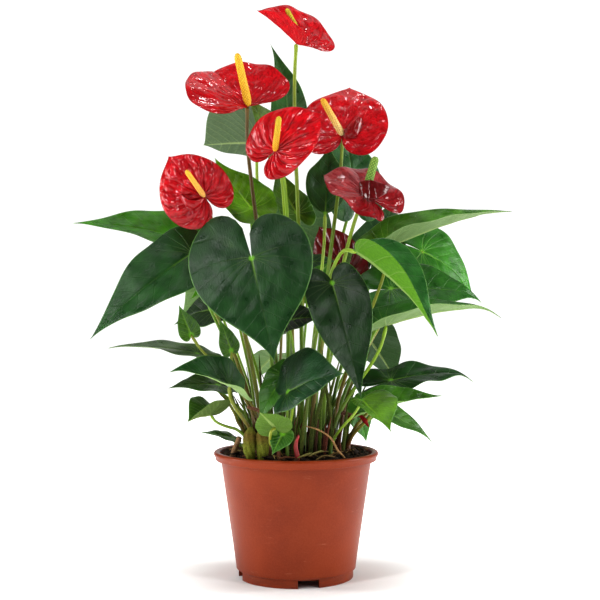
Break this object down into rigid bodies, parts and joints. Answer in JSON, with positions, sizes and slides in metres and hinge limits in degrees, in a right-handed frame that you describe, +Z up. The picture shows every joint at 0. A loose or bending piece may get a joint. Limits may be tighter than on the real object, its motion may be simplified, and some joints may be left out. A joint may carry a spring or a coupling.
{
  "type": "potted anthurium",
  "caption": "Flowering pot plant: heart-shaped leaves and waxy red blooms with yellow spikes on stems that rise from soil in a round terracotta-coloured nursery pot.",
  "frame": {"origin": "on the floor under the middle of the plant and its pot, in the plane of the pot's foot", "axes": "+Z up along the pot's axis; the front that the picture shows faces -Y; +X is to the viewer's right"},
  "size_m": [0.324, 0.1997, 0.4263],
  "materials": {
    "pot": "satin terracotta-coloured plastic",
    "soil": "rough, dark coir and bark",
    "leaf": "waxy satin, with raised veins",
    "stalk": "smooth satin",
    "spathe": "glossy, blistered",
    "spathe_faded": "dull satin",
    "spadix": "matte, covered with florets",
    "spadix_green": "matte, covered with florets",
    "dry": "dry, matte",
    "red_sheath": "satin"
  },
  "bodies": {
    "root": {"pot": "pot", "soil": "soil", "aerial_root": "dry", "dried_petiole": "dry", "leaf_back_high": "leaf", "leaf_back_right": "leaf", "leaf_centre_dark": "leaf", "leaf_dark_centre": "leaf", "leaf_front_folded": "leaf", "leaf_front_heart": "leaf", "leaf_front_right": "leaf", "leaf_front_young_right": "leaf", "leaf_grey_right": "leaf", "leaf_left_dark": "leaf", "leaf_left_high": "leaf", "leaf_left_long": "leaf", "leaf_left_low": "leaf", "leaf_left_lower": "leaf", "leaf_right_long": "leaf", "leaf_right_low_long": "leaf", "leaf_right_mid": "leaf", "leaf_right_round": "leaf", "leaf_tall_back": "leaf", "leaf_tall_right": "leaf", "leaf_top_pale": "leaf", "leaf_upper_left": "leaf", "red_sheath": "red_sheath", "shoot_back": "leaf", "shoot_centre": "leaf", "shoot_front": "leaf", "shoot_front_low": "leaf", "shoot_high": "leaf", "shoot_left": "leaf", "shoot_left_mid": "leaf", "shoot_left_rear": "leaf", "shoot_right": "leaf", "shoot_right_rim": "leaf", "spadix_1": "spadix", "spadix_2": "spadix", "spadix_3": "spadix", "spadix_4": "spadix", "spadix_5": "spadix", "spadix_6": "spadix_green", "spadix_7": "spadix_green", "spathe_1": "spathe", "spathe_2": "spathe", "spathe_3": "spathe", "spathe_4": "spathe", "spathe_5": "spathe", "spathe_6": "spathe_faded", "spathe_7": "spathe_faded", "stalk_1": "stalk", "stalk_2": "stalk", "stalk_3": "stalk", "stalk_4": "stalk", "stalk_5": "stalk", "stalk_6": "stalk", "stalk_7": "stalk", "young_sheath": "dry"}
  },
  "joints": []
}
